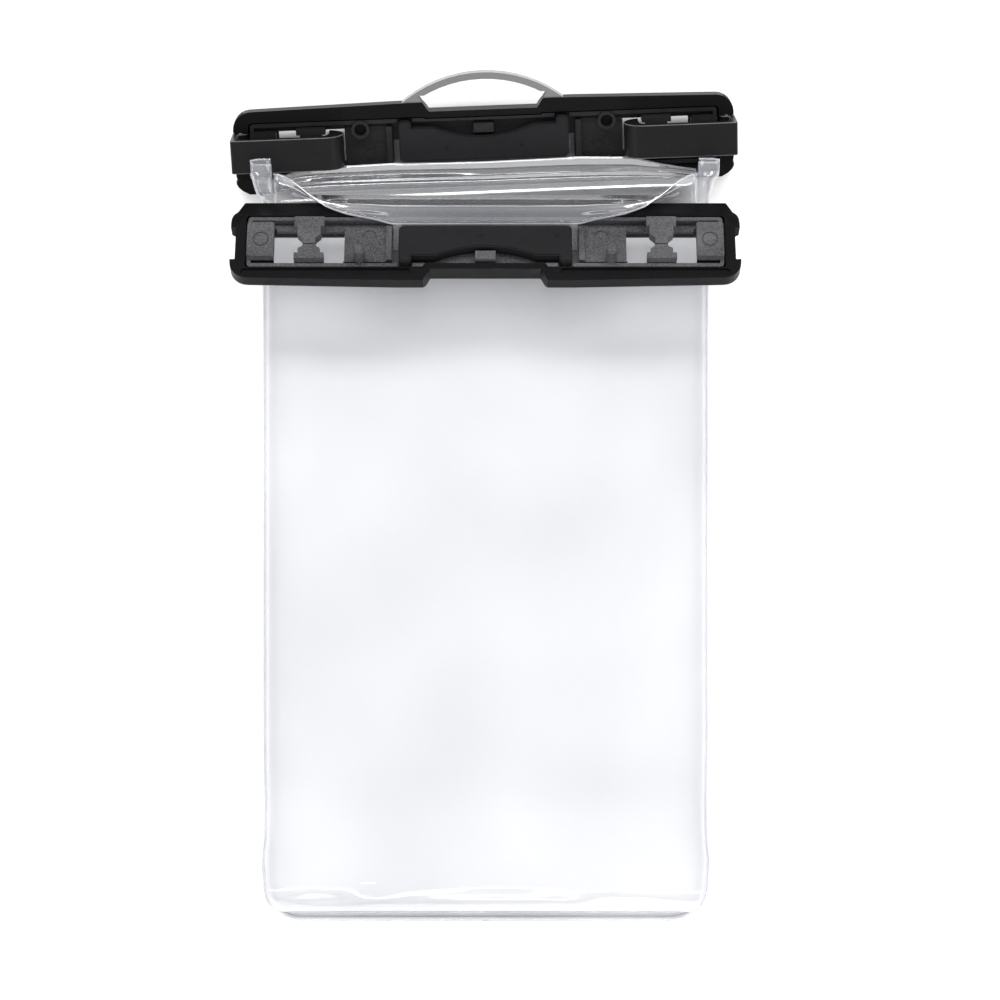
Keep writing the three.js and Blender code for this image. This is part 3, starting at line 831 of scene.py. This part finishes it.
class PouchStage(bpy.types.PropertyGroup):
    distance: bpy.props.FloatProperty(
        name="Camera distance", description="Height of the camera over the floor",
        default=0.65, unit="LENGTH", min=0.2, max=2.0,
    )
    key: bpy.props.FloatProperty(
        name="Key light", description="Power of the strip light past the mouth, in watts",
        default=7.0, min=0.0, max=100.0,
    )
    sky: bpy.props.FloatProperty(
        name="Sky", description="Strength of the white surroundings",
        default=1.17, min=0.0, max=3.0,
    )
    fill: bpy.props.FloatProperty(
        name="Fill light", description="Power of each side light, in watts",
        default=1.6, min=0.0, max=100.0,
    )


# Operators


def bead_piece(name, path, group, inputs, radius_mm):
    piece = new_piece(name, line_mesh(name, path))
    bead = piece.modifiers.new("bead", "NODES")
    bead.node_group = group
    radius, step, film = inputs
    bead[radius] = radius_mm * MM
    bead[step] = BEAD_STEP * MM
    bead[film] = bpy.data.materials["film_cut_edge"]
    baked(piece)
    return piece


def lip_blend(piece):
    """Bakes the front lip's placement into its mesh."""
    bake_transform(piece)


def ear_blend(piece):
    """Bakes an ear's placement into its mesh."""
    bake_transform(piece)


class POUCH_OT_bag(bpy.types.Operator):
    """Makes the film bag, with its side walls, back lip, ears and back tab"""

    bl_idname = "pouch.bag"
    bl_label = "Film bag"

    def execute(self, context):
        settings = context.scene.pouch_film
        film, cut = film_materials(settings)
        bag = film_sheet("bag_film", bag_mesh(), settings.thickness, film, cut)
        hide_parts("back_film", "front_film", "left_gusset", "right_gusset")
        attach(bag, "pouch")
        for side, name in ((-1, "left_ear"), (1, "right_ear")):
            piece_name = name + "_film"
            ear = film_sheet(piece_name, ear_mesh(side, piece_name), settings.thickness, film, cut)
            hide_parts(name)
            ear_blend(ear)
        back_tab = film_sheet(
            "back_tab", tab_mesh("back_tab", on_back), settings.thickness, film, cut
        )
        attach(back_tab, "pouch")
        return {"FINISHED"}


class POUCH_OT_seam(bpy.types.Operator):
    """Runs the weld's bead round the bag and a thick cut edge along its mouth"""

    bl_idname = "pouch.seam"
    bl_label = "Weld seam"

    def execute(self, context):
        settings = context.scene.pouch_film
        group, inputs = bead_nodes()
        seam = bead_piece("weld_seam", seam_path(), group, inputs, settings.bead)
        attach(seam, "pouch")
        back = [back_lip(2 * i / FRONT_CELLS - 1, 1.0) for i in range(FRONT_CELLS + 1)]
        back_edge = bead_piece("back_lip_edge", back, group, inputs, settings.edge_bead)
        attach(back_edge, "pouch")
        front_edge = bead_piece("front_lip_edge", lip_rows()[-1], group, inputs, settings.edge_bead)
        lip_blend(front_edge)
        for side, name in ((-1, "left"), (1, "right")):
            ear_edge = bead_piece(
                name + "_ear_edge", ear_rows(side)[-1], group, inputs, settings.edge_bead
            )
            ear_blend(ear_edge)
        return {"FINISHED"}


class POUCH_OT_lip(bpy.types.Operator):
    """Makes the front lip, and its tab, which is carried by the front clamp half"""

    bl_idname = "pouch.lip"
    bl_label = "Front lip"

    def execute(self, context):
        settings = context.scene.pouch_film
        film = bpy.data.materials["clear_film"]
        cut = bpy.data.materials["film_cut_edge"]
        lip = film_sheet("mouth_lip", lip_mesh(), settings.thickness, film, cut)
        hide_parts("front_lip")
        lip_blend(lip)
        front_tab = film_sheet(
            "front_tab", tab_mesh("front_tab", on_front), settings.thickness, film, cut
        )
        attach(front_tab, "front_half")
        return {"FINISHED"}


class POUCH_OT_covers(bpy.types.Operator):
    """Finishes the outer covers of both clamp halves"""

    bl_idname = "pouch.covers"
    bl_label = "Outer covers"

    def execute(self, context):
        settings = context.scene.pouch_clamp
        dark = tuple(settings.cover_color)
        light = tuple(2.2 * c for c in dark)
        plastic = black_plastic("cover_plastic", dark, light, 0.35, 0.012, 0.34, shine=0.05)
        # Painted highlight along the covers' broken edges, lighter than the cover itself.
        painted_edge_highlight = black_plastic("cover_painted_edge_highlight", (0.02, 0.02, 0.021), (0.07, 0.07, 0.072), 0.5, 0.004, 0.3)
        # The loop's light grey is a painted sheen of the white surroundings; its gloss is real.
        painted_sheen_dark, painted_sheen_light = (0.09, 0.09, 0.093), (0.115, 0.115, 0.119)
        loop_polish_and_painted_sheen = black_plastic("loop_painted_sheen_plastic", painted_sheen_dark, painted_sheen_light, 0.5, 0.001, 0.14, shine=0.9)
        for node, body in (("back_outer_cover", "pouch"), ("front_outer_cover", "front_half")):
            piece = moulding(node, node + "_moulding", plastic, settings.edge, painted_edge_highlight)
            if node == "back_outer_cover":
                polish_loop_and_paint_sheen(piece, loop_polish_and_painted_sheen)
            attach(piece, body)
        return {"FINISHED"}


class POUCH_OT_frames(bpy.types.Operator):
    """Finishes the inner frames of both clamp halves"""

    bl_idname = "pouch.frames"
    bl_label = "Inner frames"

    def execute(self, context):
        settings = context.scene.pouch_clamp
        dark = tuple(settings.frame_color)
        light = tuple(7.0 * c for c in dark)
        front = black_plastic(
            "front_frame_plastic", dark, light, 0.32, 0.05, 0.5, shine=0.16, grit=0.15
        )
        dim = tuple(0.4 * c for c in dark)
        dim_light = tuple(3 * c for c in dim)
        back = black_plastic("back_frame_plastic", dim, dim_light, 0.32, 0.03, 0.45, grit=0.15)
        for node, body, plastic in (
            ("back_inner_frame", "pouch", back),
            ("front_inner_frame", "front_half", front),
        ):
            piece = moulding(node, node + "_moulding", plastic, 0.6 * settings.edge)
            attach(piece, body)
        return {"FINISHED"}


class POUCH_OT_bars(bpy.types.Operator):
    """Finishes the bars that hold the film in the clamp halves"""

    bl_idname = "pouch.bars"
    bl_label = "Film bars"

    def execute(self, context):
        settings = context.scene.pouch_clamp
        dark = tuple(1.3 * c for c in settings.latch_color)
        light = tuple(1.8 * c for c in dark)
        plastic = black_plastic("bar_plastic", dark, light, 0.5, 0.015, 0.42)
        for node, body in (("back_film_bar", "pouch"), ("front_film_bar", "front_half")):
            piece = moulding(node, node + "_moulding", plastic, 0.7 * settings.edge)
            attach(piece, body)
        return {"FINISHED"}


class POUCH_OT_latches(bpy.types.Operator):
    """Finishes the two swing latches"""

    bl_idname = "pouch.latches"
    bl_label = "Latches"

    def execute(self, context):
        settings = context.scene.pouch_clamp
        dark = tuple(settings.latch_color)
        light = tuple(1.8 * c for c in dark)
        plastic = black_plastic("latch_plastic", dark, light, 0.5, 0.008, 0.3, shine=0.1)
        # Painted highlight along the latches' broken edges, lighter than the latch itself.
        painted_edge_highlight = black_plastic("latch_painted_edge_highlight", (0.06, 0.06, 0.062), (0.16, 0.16, 0.165), 0.5, 0.004, 0.3)
        for node in ("left_latch", "right_latch"):
            piece = moulding(node, node + "_moulding", plastic, settings.edge, painted_edge_highlight)
            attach(piece, node)
        return {"FINISHED"}


class POUCH_OT_pins(bpy.types.Operator):
    """Finishes the steel pins that the latches turn on"""

    bl_idname = "pouch.pins"
    bl_label = "Latch pins"

    def execute(self, context):
        steel = ground_steel("pin_steel")
        for node in ("left_latch_pin", "right_latch_pin"):
            piece = moulding(node, node + "_finished", steel, PIN_EDGE)
            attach(piece, "pouch")
        return {"FINISHED"}


class POUCH_OT_stage(bpy.types.Operator):
    """Makes the floor, the lights and the camera"""

    bl_idname = "pouch.stage"
    bl_label = "Stage"

    def execute(self, context):
        settings = context.scene.pouch_stage
        scene = context.scene
        scene.view_settings.view_transform = "Standard"
        mesh = bpy.data.meshes.new("floor")
        corners = [(-1, -1), (1, -1), (1, 1), (-1, 1)]
        mesh.from_pydata(
            [(x * FLOOR_HALF, y * FLOOR_HALF, FLOOR_Z) for x, y in corners], [], [(0, 1, 2, 3)]
        )
        floor = new_piece("floor", mesh, pale_floor("pale_floor"))

        world = bpy.data.worlds.new("studio")
        world.use_nodes = True
        background = world.node_tree.nodes["Background"]
        background.inputs["Color"].default_value = (1, 1, 1, 1)
        sky = world.node_tree
        direction = sky.nodes.new("ShaderNodeTexCoord").outputs["Generated"]
        parts = sky.nodes.new("ShaderNodeSeparateXYZ")
        sky.links.new(direction, parts.inputs["Vector"])
        rising = sky.nodes.new("ShaderNodeMapRange")
        rising.inputs["From Min"].default_value = 0.0
        rising.inputs["From Max"].default_value = SKY_FULL_RISE
        rising.inputs["To Min"].default_value = SKY_HORIZON * settings.sky
        rising.inputs["To Max"].default_value = settings.sky
        sky.links.new(parts.outputs["Z"], rising.inputs["Value"])
        sky.links.new(rising.outputs["Result"], background.inputs["Strength"])
        scene.world = world

        aim = Vector(LAMP_AIM)
        for name, place, wide, high, power in (
            ("mouth strip", (0.0, 0.62, 0.78), 1.2, 0.16, settings.key),
            ("foot strip", (0.0, -0.8, 0.52), 1.2, 0.14, 0.8 * settings.key),
            ("left", (-0.7, -0.1, 0.45), 0.5, 0.5, settings.fill),
            ("right", (0.7, -0.05, 0.45), 0.5, 0.5, settings.fill),
        ):
            lamp = bpy.data.lights.new(name, "AREA")
            lamp.shape = "RECTANGLE"
            lamp.size = wide
            lamp.size_y = high
            lamp.energy = power
            light = bpy.data.objects.new(name, lamp)
            light.location = place
            light.rotation_euler = (aim - Vector(place)).to_track_quat("-Z", "Y").to_euler()
            scene.collection.objects.link(light)

        data = bpy.data.cameras.new("camera")
        data.sensor_width = SENSOR
        data.lens = SENSOR * settings.distance / (VIEW_WIDTH * MM)
        data.clip_start = 0.01
        camera = bpy.data.objects.new("camera", data)
        camera.location = (VIEW_CENTRE[0] * MM, VIEW_CENTRE[1] * MM, settings.distance)
        scene.collection.objects.link(camera)
        scene.camera = camera
        return {"FINISHED"}


class POUCH_PT_panel(bpy.types.Panel):
    """Lists the pouch's settings and pieces"""

    bl_idname = "POUCH_PT_panel"
    bl_label = "Phone pouch"
    bl_space_type = "VIEW_3D"
    bl_region_type = "UI"
    bl_category = "Pouch"

    def draw(self, context):
        layout = self.layout
        for settings in SETTINGS:
            group = getattr(context.scene, settings)
            for name in group.__annotations__:
                layout.prop(group, name)
        for operator in OPERATORS:
            layout.operator(operator.bl_idname)


OPERATORS = (
    POUCH_OT_stage,
    POUCH_OT_bag,
    POUCH_OT_seam,
    POUCH_OT_lip,
    POUCH_OT_covers,
    POUCH_OT_frames,
    POUCH_OT_bars,
    POUCH_OT_latches,
    POUCH_OT_pins,
)
SETTINGS = {"pouch_film": PouchFilm, "pouch_clamp": PouchClamp, "pouch_stage": PouchStage}


def register():
    for group in SETTINGS.values():
        bpy.utils.register_class(group)
    for name, group in SETTINGS.items():
        setattr(bpy.types.Scene, name, bpy.props.PointerProperty(type=group))
    for operator in OPERATORS:
        bpy.utils.register_class(operator)
    bpy.utils.register_class(POUCH_PT_panel)


def unregister():
    bpy.utils.unregister_class(POUCH_PT_panel)
    for operator in reversed(OPERATORS):
        bpy.utils.unregister_class(operator)
    for name, group in SETTINGS.items():
        delattr(bpy.types.Scene, name)
        bpy.utils.unregister_class(group)


def main():
    register()
    bpy.ops.pouch.stage()
    bpy.ops.pouch.bag()
    bpy.ops.pouch.seam()
    bpy.ops.pouch.lip()
    bpy.ops.pouch.covers()
    bpy.ops.pouch.frames()
    bpy.ops.pouch.bars()
    bpy.ops.pouch.latches()
    bpy.ops.pouch.pins()


if __name__ == "__main__":
    main()
